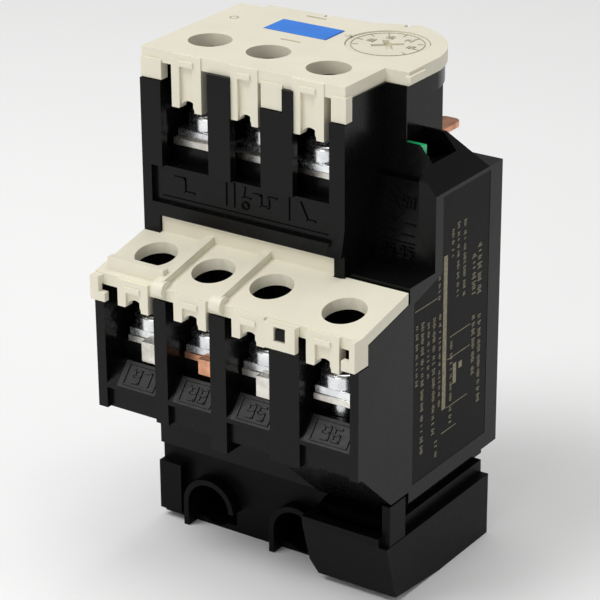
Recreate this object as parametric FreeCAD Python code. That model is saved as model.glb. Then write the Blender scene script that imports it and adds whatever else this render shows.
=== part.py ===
"""Three-pole thermal overload relay of the contactor family, standing on its mounting foot.

Build coordinates: x from the left flank, y from the front face of the control block towards the
contactor, z from the underside of the foot. export() moves everything to the part's own frame,
whose origin is the centre of the foot's underside.
"""
import FreeCAD, Part
import math
import os

V = FreeCAD.Vector

# ---- driving dimensions, millimetres -------------------------------------------------------
WIDTH = 45.0                    # across both flanks
WALL = 1.6                      # moulded wall
FIT = 0.1                       # clearance between parts that only seat in each other
RUN = 0.05                      # radial clearance of a running fit
SEAT_GAP = 0.2                  # fixed metal to a housing wall
MOVE_GAP = 0.3                  # moving piece to the rear wall
TOE_GAP = 0.5                   # trip lever's toe to the rear wall

BACK_Y = 37.9                   # rear face of the housing
SEAM_Y = 27.5                   # plane where the two housings meet
FOOT_FRONT_Y = 15.2
FRAME_Y = 22.0                  # middle of the foot, front to back
CASE_BASE_Z = 12.0              # underside of the housings, on the foot
FLOOR_Z = 15.0                  # floor of the inner cavity
BLOCK_BASE_Z = 24.0             # underside of the control block
CONTROL_TOP_Z = 48.3            # top of the control block behind its cover
PANEL_Z = (52.4, 58.0)          # symbol panel below the load terminals
SHOULDER_Z = 65.2               # top of the right shoulder
SHOULDER_CUT = (4.9, 5.6)       # bevel on the shoulder: across, down
SHOULDER_BACK_Y = (30.2, 34.2)  # slope behind the shoulder: its top edge, its foot
LOW_ROOF_Z = 59.6               # roof from the slope's foot to the rear face
NECK_RIGHT = 36.0               # right side of the neck under the dial
NECK_BACK_Y = 36.0
TOP_Z = 75.5                    # top face of the ivory cover
COVER_T = 2.0
CASE_TOP_Z = TOP_Z - COVER_T

POLE_X = (6.8, 16.9, 28.0)      # load poles
POLE_SCREW_Y = (20.0, 20.0, 18.6)
UPPER_RIGHT = POLE_X[2] + 6.85  # right side of the upper body
UPPER_FRONT_Y = 12.1
LOAD_BAYS = ((2.4, 11.4), (12.9, 21.3), (23.4, 32.3))
LOAD_MOUTHS = ((3.6, 11.8), (15.6, 20.8), (26.2, 32.3))
LOAD_BAY_Y = (13.4, 24.8)
LOAD_SEAT_Z = 60.3              # seat of the load terminals
PLATE_T = 1.1                   # terminal and lead sheet
LOAD_PLATE_HALF = 3.8

CONTROL_X = (5.8, 16.2, 26.3, WIDTH - 5.9)
CONTROL_SCREW_Y = (7.2, 6.8, 6.7, 5.6)
CONTROL_BAYS = ((WALL, 10.45), (12.64, 20.2), (22.9, 30.3), (35.3, WIDTH - 1.4))
CONTROL_SEAT_Z = 33.5
CONTROL_PLATE_HALF = 3.1
CONTROL_BACK_Y = 12.0

SCREW_R = 1.75                  # M3.5 terminal screws
HEAD_R = 3.3
HEAD_H = 2.3
WASHER_T = 1.2
DRIVER_R = 3.2                  # driver holes in the covers

DIAL_XY = (28.9, 32.4)
DIAL_R = 6.05
DIAL_FLANGE = 0.85              # the dial's flange beyond its disc
SHAFT_R = 2.0
CAM_Z = (62.0, 63.2)
CAM_R = 3.0                     # cam radius at mid setting
CAM_RISE = 0.16                 # cam radius gained over 135 degrees

RESET_X = (10.0, 20.6)
RESET_Y = (28.9, 33.9)
RESET_BASE_Z = 66.0
RESET_DIAL_GAP = 0.8            # reset bar's flange to the dial's flange
RESET_ARM_T = 1.2
SPRING_R = 1.45
SPRING_WIRE_R = 0.25

LEAD_HALF = 1.8
LEAD_Z = 57.4
LEAD_TIP_Y = 52.2
LEAD_LEG_Y = 33.4               # front of the lead's bent-down end

STRIP_T = 0.8                   # bimetal thickness
STRIP_Y = (26.6, 30.4)
STRIP_Z = (18.0, 50.0)
STRIP_ROOT_Z = 46.0             # the bimetals bend below this height
HEATER_Z = (23.0, 42.0)
HEATER_TURNS = 7
WIRE = 0.9                      # heater ribbon, square

SLIDER_Z = (FLOOR_Z + FIT, FLOOR_Z + FIT + 1.6)
FINGER_GAP = 0.35               # slider finger to bimetal at rest
FINGER_TOP_Z = 20.6

TRIP_PIVOT = (37.6, 50.0)       # x, z of the trip lever's pin
ADJUST_PIVOT = (40.5, 55.0)     # x, z of the adjusting lever's pin
COMP_PIVOT = (40.5, 36.0)       # x, z of the compensating strip's pin
LEVER_GAP = 0.4                 # adjusting lever to the neck wall and the low roof
LEVER_ARM_T = 1.6
TOE_Z = (52.6, 53.8)            # trip lever's reset toe
TOE_DROP = 2.4                  # reset bar's leg above the toe
TRIP_PIN_R = 1.0
SMALL_PIN_R = 0.8

CARRIER_Y = (22.4, 24.4)
CARRIER_Z = (40.0, 43.0)
BRIDGE_X = (11.05, 33.0)        # left faces of the two contact bridges
BRIDGE_T = 0.5
TONGUE_T = 0.7
CONTACT_Y = (18.8, 21.0)
CONTACT_Z = 45.3

CASE_SCREWS = ((2.3, 20.0), (2.3, 52.0), (22.45, 53.5), (35.5, 26.0))  # x, z
POST_R = 1.6
CASE_SCREW_R = 1.2

LABEL_T = 0.3
COVER_TILT = math.tan(math.radians(12.0))
COVER_FRONT_Z = 45.2            # control cover's top face at its front edge
COVER_FRONT_Y = 0.3


# ---- helpers ---------------------------------------------------------------------------------
def box(x, y, z):
    """Box from three (low, high) pairs."""
    size = [pair[1] - pair[0] for pair in (x, y, z)]
    return Part.makeBox(size[0], size[1], size[2], V(x[0], y[0], z[0]))


def rod(radius, start, length, axis="z"):
    """Cylinder from a start point along one axis."""
    direction = {"x": V(1, 0, 0), "y": V(0, 1, 0), "z": V(0, 0, 1)}[axis]
    return Part.makeCylinder(radius, length, V(*start), direction)


def prism(points, axis, low, high):
    """Polygon extruded along an axis; points are the other two coordinates in x, y, z order."""
    def lift(a, b):
        return {"x": V(low, a, b), "y": V(a, low, b), "z": V(a, b, low)}[axis]
    wire = Part.makePolygon([lift(a, b) for a, b in points] + [lift(*points[0])])
    travel = {"x": V(high - low, 0, 0), "y": V(0, high - low, 0), "z": V(0, 0, high - low)}[axis]
    return Part.Face(wire).extrude(travel)


def fuse(shapes):
    result = shapes[0].multiFuse(shapes[1:]) if len(shapes) > 1 else shapes[0]
    return result.removeSplitter()


def around(centre, half):
    return (centre - half, centre + half)


def grow(pair, gap):
    return (pair[0] - gap, pair[1] + gap)


def cover_z(y, drop=0.0):
    """Height of the control cover's sloping top face at y, less a drop."""
    return COVER_FRONT_Z + (y - COVER_FRONT_Y) * COVER_TILT - drop


def shoulder(y, base_z, inset=0.0):
    """The right shoulder's section between two y values, with its bevel."""
    right = WIDTH - inset
    top = SHOULDER_Z - inset
    cut_x, cut_z = SHOULDER_CUT
    outline = [(UPPER_RIGHT - WALL, base_z), (right, base_z), (right, top - cut_z),
               (right - cut_x, top), (UPPER_RIGHT - WALL, top)]
    return prism(outline, "y", y[0], y[1])


def behind_shoulder(left, inset=0.0):
    """The space over the slope and the low roof behind the shoulder, right of a given x."""
    top, foot = SHOULDER_BACK_Y
    run = (foot - top) / (SHOULDER_Z - LOW_ROOF_Z)
    over = SHOULDER_Z + 2.0
    roof = LOW_ROOF_Z - inset
    outline = [(top - inset / 2 - 2.0 * run - inset * run, over), (foot - inset / 2, roof), (BACK_Y + 1, roof),
               (BACK_Y + 1, over)]
    return prism(outline, "x", left, WIDTH + 1)


# ---- housings --------------------------------------------------------------------------------
NECK = box((WIDTH - 2.4, WIDTH + 1), (8.0, BACK_Y + 1), (CASE_BASE_Z - 1, FLOOR_Z))
LABEL_OUTLINE = [(14.1, 17.5), (34.5, 17.5), (34.5, 59.0), (21.6, 59.0), (21.6, 47.6), (14.1, 45.6)]
FLAG_X = (37.3, 40.4)
FLAG_SINK = 0.25                # flag's top below the shoulder's
FLAG_SLOT_X = (36.7, 42.2)
SHOULDER_FRONT_R = 4.4
FLAG_Y = (23.45, 24.6)
FLAG_SLOT_Y = (23.2, 29.6)
RECESS_X = (UPPER_RIGHT, WIDTH - 2.8)


def rating_label():
    return prism(LABEL_OUTLINE, "x", WIDTH - LABEL_T, WIDTH)


def label_recess():
    return prism(LABEL_OUTLINE, "x", WIDTH - LABEL_T, WIDTH + 1)


def screw_posts():
    """Posts of the case screws in the front housing, rooted in its front wall."""
    posts = []
    for x, z in CASE_SCREWS:
        start = FOOT_FRONT_Y - 0.6 if z < BLOCK_BASE_Z else 13.2
        posts.append(rod(POST_R, (x, start, z), SEAM_Y - start, "y"))
    return posts


def control_bay_cuts():
    cuts = []
    for low, high in CONTROL_BAYS:
        shelf = [(-1, 28.0), (0, 28.0), (2.7, 31.1), (4.4, 31.1), (4.4, CONTROL_SEAT_Z),
                 (CONTROL_BACK_Y, CONTROL_SEAT_Z), (CONTROL_BACK_Y, 60), (-1, 60)]
        cuts.append(prism(shelf, "x", low, high))
        cuts.append(box((low, high), (-1, 0.8), (BLOCK_BASE_Z - 1, 27.3)))
    return cuts


def load_bay_cuts():
    cuts = []
    front, back = LOAD_BAY_Y
    for (low, high), mouth in zip(LOAD_BAYS, LOAD_MOUTHS):
        seat = [(front, PANEL_Z[1]), (15.6, PANEL_Z[1]), (15.6, LOAD_SEAT_Z), (back, LOAD_SEAT_Z),
                (back, CASE_TOP_Z + 1), (front, CASE_TOP_Z + 1)]
        cuts.append(prism(seat, "x", low, high))
        cuts.append(box(mouth, (UPPER_FRONT_Y - 1, front + FIT), (PANEL_Z[1], CASE_TOP_Z + 1)))
    return cuts


def terminal_slots():
    """Slots that let the terminals through the walls, and relief for their screws."""
    cuts = []
    for x, y in zip(POLE_X, POLE_SCREW_Y):
        cuts.append(box(around(x, 1.4 + RUN), (LOAD_BAY_Y[1] - 1, SEAM_Y),
                        (LOAD_SEAT_Z - RUN, LOAD_SEAT_Z + PLATE_T + RUN)))
        cuts.append(rod(SCREW_R + 0.3, (x, y, LOAD_SEAT_Z - 3.2), 3.3))
    for x, y in zip(CONTROL_X, CONTROL_SCREW_Y):
        cuts.append(box(around(x, CONTROL_PLATE_HALF + RUN), (CONTROL_BACK_Y - 1, 15.0),
                        (CONTROL_SEAT_Z - RUN, CONTROL_SEAT_Z + 1.0 + RUN)))
        cuts.append(rod(SCREW_R + 0.3, (x, y, CONTROL_SEAT_Z - 5.0), 5.1))
    return cuts


def main_case():
    """Front housing: control block, load terminal bays and the front of the right shoulder."""
    skirt_top = cover_z(0, 1.9)
    block = prism([(0, BLOCK_BASE_Z), (0, skirt_top), (13.0, cover_z(13.0, 1.9)), (13.0, CONTROL_TOP_Z),
                   (SEAM_Y, CONTROL_TOP_Z), (SEAM_Y, CASE_BASE_Z), (14.5, CASE_BASE_Z),
                   (14.5, BLOCK_BASE_Z)], "x", 0, WIDTH)
    belly = prism([(0.8, BLOCK_BASE_Z), (14.5, BLOCK_BASE_Z), (14.5, 13.0), (12.6, 13.0)],
                  "x", 30.0, WIDTH)
    upper = box((0, UPPER_RIGHT), (UPPER_FRONT_Y, SEAM_Y), (CONTROL_TOP_Z - 1, CASE_TOP_Z))
    neck_back = box((UPPER_RIGHT - WALL, 38.2), (22.0, SEAM_Y), (SHOULDER_Z - 1, CASE_TOP_Z))
    partition_feet = [box((20.2, 22.9), (0, 14.6), (22.3, BLOCK_BASE_Z + 1)),
                      box((30.3, 35.3), (0, 14.6), (23.5, BLOCK_BASE_Z + 1))]
    post_foot = prism([(12.2, 55.4), (11.2, 51.0), (13.2, 51.0), (13.2, 55.4)], "x", 32.4, UPPER_RIGHT)
    body = fuse([block, belly, upper, shoulder((19.6, SEAM_Y), CONTROL_TOP_Z - 1), neck_back,
                 post_foot] + partition_feet)

    cuts = control_bay_cuts() + load_bay_cuts() + terminal_slots()
    # symbol panel, seat of the control cover's back lip, and the recess beside the upper body
    cuts.append(box((WALL, 33.0), (UPPER_FRONT_Y - 1, 12.9), PANEL_Z))
    cuts.append(box((2.8, 33.1), (UPPER_FRONT_Y - 1, 13.8), (CONTROL_TOP_Z - 0.6, 50.4)))
    cuts.append(prism([(10, 48.9), (18.9, 48.9), (21.6, 60.3), (22.6, 60.3), (22.6, 80), (10, 80)],
                      "x", *RECESS_X))
    cuts.append(box((NECK_RIGHT, 40), (22.8, SEAM_Y + 1), (SHOULDER_Z, 70.6)))
    # seats of the covers' corner skirts and clips
    for skirt_x, skirt_z in COVER_SKIRTS:
        cuts.append(box(grow(skirt_x, FIT), (UPPER_FRONT_Y - 1, 14.1), (skirt_z - FIT, CASE_TOP_Z + 1)))
    cuts.append(box((WIDTH - 1.0, WIDTH + 1), (-1, 2.5), (40.6, 60)))
    # room for the foot's latch, and the rounded front of the shoulder
    cuts.append(box((WIDTH - 1.7, WIDTH + 1), (7.0, 13.2), (CASE_BASE_Z - 1, 16.8)))
    round_r = SHOULDER_FRONT_R
    corner = box((RECESS_X[1], WIDTH + 1), (19.0, 19.6 + round_r), (SHOULDER_Z - round_r, SHOULDER_Z + 1))
    cuts.append(corner.cut(rod(round_r, (0, 19.6 + round_r, SHOULDER_Z - round_r), WIDTH + 1, "x")))
    # inner cavity in three parts: low, behind the upper front wall, behind the shoulder
    cuts.append(box((WALL, WIDTH - WALL), (15.8, SEAM_Y + 1), (FLOOR_Z, BLOCK_BASE_Z + 2)))
    cuts.append(box((WALL, WIDTH - WALL), (CONTROL_BACK_Y + 1.8, SEAM_Y + 1), (BLOCK_BASE_Z + 1.6, 46.7)))
    cuts.append(box((WALL, UPPER_RIGHT - WALL), (15.0, SEAM_Y + 1), (46.0, 56.4)))
    cuts.append(box((WALL, UPPER_RIGHT - WALL), (LOAD_BAY_Y[1] + WALL, SEAM_Y + 1), (46.0, CASE_TOP_Z + 1)))
    behind_panel = prism([(20.8, 46.0), (24.4, 61.7), (23.2, 61.7), (23.2, SHOULDER_Z), (SEAM_Y + 1, SHOULDER_Z),
                          (SEAM_Y + 1, 46.0)], "x", UPPER_RIGHT - 3, WIDTH)
    cuts.append(behind_panel.common(shoulder((19, SEAM_Y + 1), 45.9, WALL)))
    cuts.append(box(FLAG_SLOT_X, (FLAG_SLOT_Y[0], SEAM_Y + 1), (SHOULDER_Z - 3.3, SHOULDER_Z + 1)))
    cuts.append(rod(DIAL_R + DIAL_FLANGE + 0.4, (DIAL_XY[0], DIAL_XY[1], CASE_TOP_Z - 1.9), 5))
    body = body.cut(cuts).cut([NECK, label_recess()])

    # carrier shelves, screw posts and the flag's shelf stand inside the cavity
    shelves = [box(x, (CONTROL_BACK_Y + 1, CARRIER_Y[1] + 0.3), (CARRIER_Z[0] - 1.5, CARRIER_Z[0] - FIT))
               for x in ((13.4, 15.0), (29.5, 31.0))]
    flag_shelf = box((FLAG_X[0] - 1, FLAG_X[1] + 1), (22.8, SEAM_Y), (60.9, 61.9))
    lug = box((31.95, 33.55), (-0.7, 0.2), (42.6, 44.1))
    body = fuse([body, flag_shelf, lug] + shelves + screw_posts())
    holes = [rod(CASE_SCREW_R - 0.05, (x, 17.0, z), SEAM_Y - 16, "y") for x, z in CASE_SCREWS]
    holes.append(rod(TRIP_PIN_R, (TRIP_PIVOT[0], 20.2, TRIP_PIVOT[1]), 6, "y"))
    return body.cut(holes)


def rear_case():
    """Rear housing: back wall with lead slots, barriers between poles, head under the dial."""
    low = box((0, WIDTH), (SEAM_Y, BACK_Y), (CASE_BASE_Z, 58.0))
    upper = box((0, UPPER_RIGHT), (SEAM_Y, BACK_Y), (50.0, CASE_TOP_Z))
    neck = box((UPPER_RIGHT - WALL, NECK_RIGHT), (SEAM_Y, NECK_BACK_Y), (LOW_ROOF_Z - 1, CASE_TOP_Z))
    head = prism_head((70.6, CASE_TOP_Z), 0.35)
    corner = box((UPPER_RIGHT, NECK_RIGHT + 1), (NECK_BACK_Y, BACK_Y + 1), (LOW_ROOF_Z, SHOULDER_Z + 1))
    rear_shoulder = shoulder((SEAM_Y, BACK_Y), 50.0).cut([behind_shoulder(NECK_RIGHT), corner])
    body = fuse([low, upper, rear_shoulder, neck, head])

    back = BACK_Y - WALL
    cuts = [box((WALL, WIDTH - WALL), (SEAM_Y - 1, back), (FLOOR_Z, 58.0)),
            shoulder((SEAM_Y - 1, back), 50.0, WALL).cut(behind_shoulder(NECK_RIGHT - WALL, WALL)),
            box((WALL, UPPER_RIGHT - WALL), (SEAM_Y - 1, back), (50.0, 71.0)),
            box((30.0, NECK_RIGHT - WALL), (SEAM_Y - 1, back), (57.0, 71.0)),
            box((WALL, UPPER_RIGHT - WALL), (SEAM_Y - 1, back), (70.0, CASE_TOP_Z + 1)),
            rod(DIAL_R + DIAL_FLANGE + 0.4, (DIAL_XY[0], DIAL_XY[1], CASE_TOP_Z - 1.9), 5),
            box(FLAG_SLOT_X, (SEAM_Y - 1, FLAG_SLOT_Y[1]), (SHOULDER_Z - 3.3, SHOULDER_Z + 1)),
            NECK, label_recess()]
    body = body.cut(cuts)

    ribs = []
    for left, right in zip(POLE_X, POLE_X[1:]):
        middle = (left + right) / 2
        ribs.append(box(around(middle, 0.5), (CARRIER_Y[1] + 0.5, back + 0.5), (21.5, 51.3)))
    seat_x = (POLE_X[0] + POLE_X[1]) / 2
    ribs.append(box(around(seat_x, 2.2), (RESET_Y[0], back + 0.5), (54.5, 58.0)))
    ribs.append(rod(0.9, (seat_x, SPRING_Y, 57.5), 5.0))
    ribs.append(box(around(TRIP_PIVOT[0], 1.6), (30.2, back + 0.5), around(TRIP_PIVOT[1], 1.6)))
    ribs.append(box((ADJUST_PIVOT[0] - 1.2, WIDTH - 1.2), (34.2, back + 0.5), around(ADJUST_PIVOT[1], 1.5)))
    ribs += [rod(POST_R, (x, SEAM_Y, z), back + 0.5 - SEAM_Y, "y") for x, z in CASE_SCREWS]
    hooks = [prism([(BACK_Y - 0.1, 44.0), (BACK_Y + 2.6, 44.0), (BACK_Y + 2.6, 47.5), (BACK_Y + 1.4, 47.5),
                    (BACK_Y + 1.4, 45.2), (BACK_Y - 0.1, 45.2)], "x", x, x + 4.0) for x in (9.8, 20.4)]
    body = fuse([body] + ribs + hooks)

    holes = []
    for x in POLE_X:
        holes.append(box(around(x, LEAD_HALF + RUN), (back - 0.5, BACK_Y + 1),
                         (LEAD_Z - RUN, LEAD_Z + PLATE_T + RUN)))
    for x, z in CASE_SCREWS:
        holes.append(rod(CASE_SCREW_R + 0.15, (x, SEAM_Y - 1, z), BACK_Y - SEAM_Y + 2, "y"))
        holes.append(rod(2.3, (x, BACK_Y - 1.3, z), 2, "y"))
    holes.append(rod(TRIP_PIN_R, (TRIP_PIVOT[0], 29, TRIP_PIVOT[1]), 6, "y"))
    holes.append(rod(SMALL_PIN_R, (ADJUST_PIVOT[0], 33, ADJUST_PIVOT[1]), 4.0, "y"))
    return body.cut(holes)


SPRING_Y = 31.4


def prism_head(z, inset=0.0):
    """Outline shared by the cover and the rear housing's head, behind the seam."""
    right = 38.4 - inset
    corner = [V(28.5, 42.1 - inset, z[0]), V(34.9 - inset * 0.7, 38.4 - inset * 0.7, z[0]),
              V(right, 31.0, z[0])]
    arc = Part.Arc(*corner).toShape()
    points = [V(right, 31.0, z[0]), V(right, SEAM_Y, z[0]), V(inset * 0, SEAM_Y, z[0]),
              V(inset * 0, 37.2 - inset, z[0]), V(4.1, 37.2 - inset, z[0]), V(4.1, 38.7 - inset, z[0]),
              V(21.6, 39.5 - inset, z[0]), V(26.2, 41.3 - inset, z[0]), V(28.5, 42.1 - inset, z[0])]
    edges = [Part.makeLine(a, b) for a, b in zip(points, points[1:])]
    wire = Part.Wire(Part.__sortEdges__(edges + [arc]))
    return Part.Face(wire).extrude(V(0, 0, z[1] - z[0]))


# ---- mounting foot ---------------------------------------------------------------------------
ARCH_X = (9.7, 25.4)            # arched openings in the foot's front wall
ARCH_Z = 4.0
ARCH_R = 3.7
COLLAR_T = 0.9
FOOT_BOX_X = 30.6               # left side of the foot's front box
FOOT_LEDGE_Z = 10.0             # step along the foot's right side
FOOT_RIM_Z = 11.5


def mounting_foot():
    """Foot that holds the relay to the panel: slab, front box with pocket, arched collars."""
    slab = box((0, WIDTH), (FOOT_FRONT_Y, 36.0), (0, CASE_BASE_Z))
    left_block = box((0.4, 4.4), (13.4, 16.0), (1.4, 9.5))
    front = prism([(7.2, FOOT_RIM_Z), (7.5, 9.8), (10.0, 1.1), (22.0, 0), (22.0, CASE_BASE_Z),
                   (13.4, CASE_BASE_Z), (12.2, FOOT_RIM_Z)], "x", FOOT_BOX_X, WIDTH)
    ring = ARCH_R + COLLAR_T
    collars = []
    for x in ARCH_X:
        arch = rod(ring, (x, 13.0, ARCH_Z), 2.6, "y").common(box((0, WIDTH), (12, 16), (ARCH_Z, 12)))
        leg = box((x - ring, x - ARCH_R), (13.0, 15.6), (0, ARCH_Z))
        collars.append(fuse([arch, leg]))
    body = fuse([slab, left_block, front] + collars)
    cuts = []
    for x in ARCH_X:
        cuts.append(rod(ARCH_R, (x, 12.0, ARCH_Z), 10.0, "y"))
        cuts.append(box(around(x, ARCH_R), (12.0, 22.0), (1.0, ARCH_Z)))
    # pocket in the front box, step along the right side, weight savers from below
    cuts.append(box((FOOT_BOX_X + 1.4, WIDTH - 2.7), (8.9, 12.0), (7.2, 14)))
    cuts.append(box((WIDTH - 1.3, WIDTH + 1), (0, 37), (FOOT_LEDGE_Z, 14)))
    cuts.append(prism([(9.0, -1), (9.0, 1.2), (22.0, 0), (22.0, -1)], "x", FOOT_BOX_X - 1, WIDTH + 1))
    cuts.append(prism([(FOOT_BOX_X - 1, -1), (FOOT_BOX_X - 1, 3.4), (FOOT_BOX_X, 3.4), (FOOT_BOX_X + 1.6, 0),
                       (FOOT_BOX_X + 1.6, -1)], "y", 6, FOOT_FRONT_Y - 1))
    cuts.append(box((FOOT_BOX_X + 2, WIDTH - 3), (24.0, 33.5), (-1, CASE_BASE_Z - 3)))
    cuts.append(box((4.0, 27.0), (26.0, 33.5), (-1, CASE_BASE_Z - 3)))
    latch = box((WIDTH - 1.4, WIDTH - 0.1), (8.4, 12.6), (FOOT_LEDGE_Z - 1, 16.4))
    return fuse([body.cut(cuts), latch])


# ---- covers ----------------------------------------------------------------------------------
COVER_SKIRTS = (((0, 3.6), 71.0), ((20.8, 24.4), 70.2), ((32.4, UPPER_RIGHT), 70.3))
LOAD_TABS = ((5.3, 10.5), (15.5, 20.2), (25.9, 31.2))
LOAD_TAB_Z = 67.0
CONTROL_TABS = ((4.3, 9.7), (14.2, 19.8), (24.2, 29.7), (36.6, 42.0))
CONTROL_TAB_Z = 40.6


def shroud(x, y, z):
    """Finger guard over a wire mouth: channel down its front, arched lower edge, lip on top."""
    width = x[1] - x[0]
    plate = box(x, y, z)
    channel = box((x[0] + 0.27 * width, x[0] + 0.72 * width), (y[0] - 1, y[0] + 0.55),
                  (z[0] - 1, z[1] - 1.9))
    arch = rod(0.26 * width, (x[0] + 0.5 * width, y[0] - 1, z[0] + 0.1), 5, "y")
    shave = box((x[0] - 1, x[0] + 0.5 * width), (y[0] - 1, y[1] + 1), (z[0] - 1, z[0] + 0.35))
    lip = box((x[0] + 0.25 * width, x[0] + 0.75 * width), (y[0] - 0.25, y[0] + 0.3),
              (z[1] - 1.7, z[1] - 0.9))
    return plate.cut([channel, arch, shave]).fuse(lip)


def top_cover():
    """Ivory cover of the upper body with shrouds over the load terminals."""
    z = (CASE_TOP_Z, TOP_Z)
    front = fuse([box((0, UPPER_RIGHT - 0.3), (12.7, SEAM_Y + 0.5), z),
                  box((0, 38.4), (22.8, SEAM_Y + 0.5), z)])
    skirts = [box((x[0], x[1]), (12.4, 14.0), (low, CASE_TOP_Z + 0.5)) for x, low in COVER_SKIRTS]
    tabs = [shroud(x, (12.5, 14.2), (LOAD_TAB_Z, TOP_Z - 0.1)) for x in LOAD_TABS]
    pad = box((38.0, 38.9), (22.4, 26.6), (TOP_Z - 1.6, TOP_Z - 0.5))
    body = fuse([front, prism_head(z), pad] + skirts + tabs)
    cuts = [rod(DRIVER_R, (x, y, CASE_TOP_Z - 1), COVER_T + 2) for x, y in zip(POLE_X, POLE_SCREW_Y)]
    cuts.append(rod(DIAL_R + 0.1, (DIAL_XY[0], DIAL_XY[1], CASE_TOP_Z - 1), COVER_T + 2))
    cuts.append(box(grow(RESET_X, 0.15), grow(RESET_Y, 0.15), (CASE_TOP_Z - 1, TOP_Z + 1)))
    cuts.append(box((14.9, 18.3), (25.7, 26.3), (TOP_Z - 0.7, TOP_Z + 1)))
    cuts.append(box((11.9, 15.3), (36.9, 37.5), (TOP_Z - 0.7, TOP_Z + 1)))
    cuts.append(box((14.1, 15.0), (38.2, 40.0), (CASE_TOP_Z - 1, TOP_Z + 1)))
    cuts.append(box((26.6, 27.3), (40.4, 43.0), (CASE_TOP_Z - 1, TOP_Z + 1)))
    return body.cut(cuts)


def terminal_cover():
    """Ivory cover of the control block: sloping plate, ribs, lips, shrouds and clips."""
    def slab(x, y, rise, drop):
        low, high = y
        return prism([(low, cover_z(low, drop)), (low, cover_z(low, -rise)), (high, cover_z(high, -rise)),
                      (high, cover_z(high, drop))], "x", x[0], x[1])
    plate = fuse([slab((0, UPPER_RIGHT), (COVER_FRONT_Y, 12.0), 0, 1.8),
                  slab((2.9, 33.0), (11.5, 13.4), 0, 1.8),
                  slab((UPPER_RIGHT - 0.5, WIDTH), (COVER_FRONT_Y, 12.6), 0, 1.8),
                  slab((UPPER_RIGHT + 0.1, WIDTH), (12.0, 14.8), 0, 0.4).common(
                      box((0, WIDTH), (0, 20), (CONTROL_TOP_Z, 60)))])
    lip = box((2.9, 33.0), (12.6, 13.6), (cover_z(12.6, 1.0), 50.3))
    ribs = [slab(x, (0.2, 12.8), 1.1, 1.0) for x in ((10.9, 12.2), (20.9, 22.2))]
    noses = [rod(1.3, (x, 0.5, cover_z(0.5, 0.3)), 1.9, "x") for x in (10.7, 20.7)]
    bar = box((1.6, 11.5), (1.2, 2.4), (cover_z(2.4, 1.0), 47.4))
    tabs = [shroud(x, (-0.2, 1.5), (CONTROL_TAB_Z if i < 3 else CONTROL_TAB_Z - 0.9, cover_z(0.3, 0.1)))
            for i, x in enumerate(CONTROL_TABS)]
    clips = [box((0, 1.5), (-1.0, -RUN), (41.3, cover_z(0.3, 0.2))),
             box((0, 2.6), (-1.0, -RUN), (41.3, 42.7)),
             box((0, 1.5), (-1.0, 0.6), (cover_z(0.3, 1.6), cover_z(0.3, 0.2))),
             box((30.1, 35.3), (-1.0, -RUN), (41.2, cover_z(0.3, 0.2))),
             box((30.1, 35.3), (-1.0, 0.6), (cover_z(0.3, 1.6), cover_z(0.3, 0.2))),
             box((WIDTH - 0.9, WIDTH), (-1.0, 2.4), (40.8, cover_z(2.4, 0.3))),
             box((WIDTH - 2.2, WIDTH), (-1.0, -RUN), (40.8, 42.3))]
    body = fuse([plate, lip, bar] + ribs + noses + tabs + clips)
    cuts = [rod(DRIVER_R - 0.05, (x, y, 40), 12) for x, y in zip(CONTROL_X, CONTROL_SCREW_Y)]
    cuts.append(box((31.8, 33.7), (-2, 0.1), (42.45, 44.6)))
    return body.cut(cuts)


# ---- current path ----------------------------------------------------------------------------
def load_terminal(x, screw_y):
    z = (LOAD_SEAT_Z, LOAD_SEAT_Z + PLATE_T)
    plate = box(around(x, LOAD_PLATE_HALF), (15.6, LOAD_BAY_Y[1] - FIT), z)
    tail = box(around(x, 1.4), (LOAD_BAY_Y[1] - 1, 30.5), z)
    leg = box((x + STRIP_T / 2, x + STRIP_T / 2 + 1.0), (LOAD_BAY_Y[1] + WALL + SEAT_GAP, 30.5),
              (STRIP_ROOT_Z, z[1]))
    body = fuse([plate, tail, leg])
    return body.cut(rod(SCREW_R + 0.03, (x, screw_y, z[0] - 1), 4))


def screw(x, y, seat_z):
    """Pan head with a cross recess and slot, shank down through the washer and plate."""
    head = rod(HEAD_R, (x, y, seat_z + WASHER_T), HEAD_H)
    head = head.makeFillet(0.6, [e for e in head.Edges if e.BoundBox.ZMin > seat_z + WASHER_T + HEAD_H - 0.01
                                 and e.BoundBox.XLength > HEAD_R])
    shank = rod(SCREW_R, (x, y, seat_z - 3.8), WASHER_T + 4.0)
    top = seat_z + WASHER_T + HEAD_H
    cross = [box(around(x, 2.0), around(y, 0.45), (top - 1.4, top + 1)),
             box(around(x, 0.45), around(y, 2.0), (top - 1.4, top + 1))]
    return head.fuse(shank).cut(cross).removeSplitter()


def square_washer(x, y, seat_z, half):
    plate = box(around(x, half), around(y, half), (seat_z, seat_z + WASHER_T))
    return plate.cut(rod(SCREW_R + 0.1, (x, y, seat_z - 1), 4))


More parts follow.
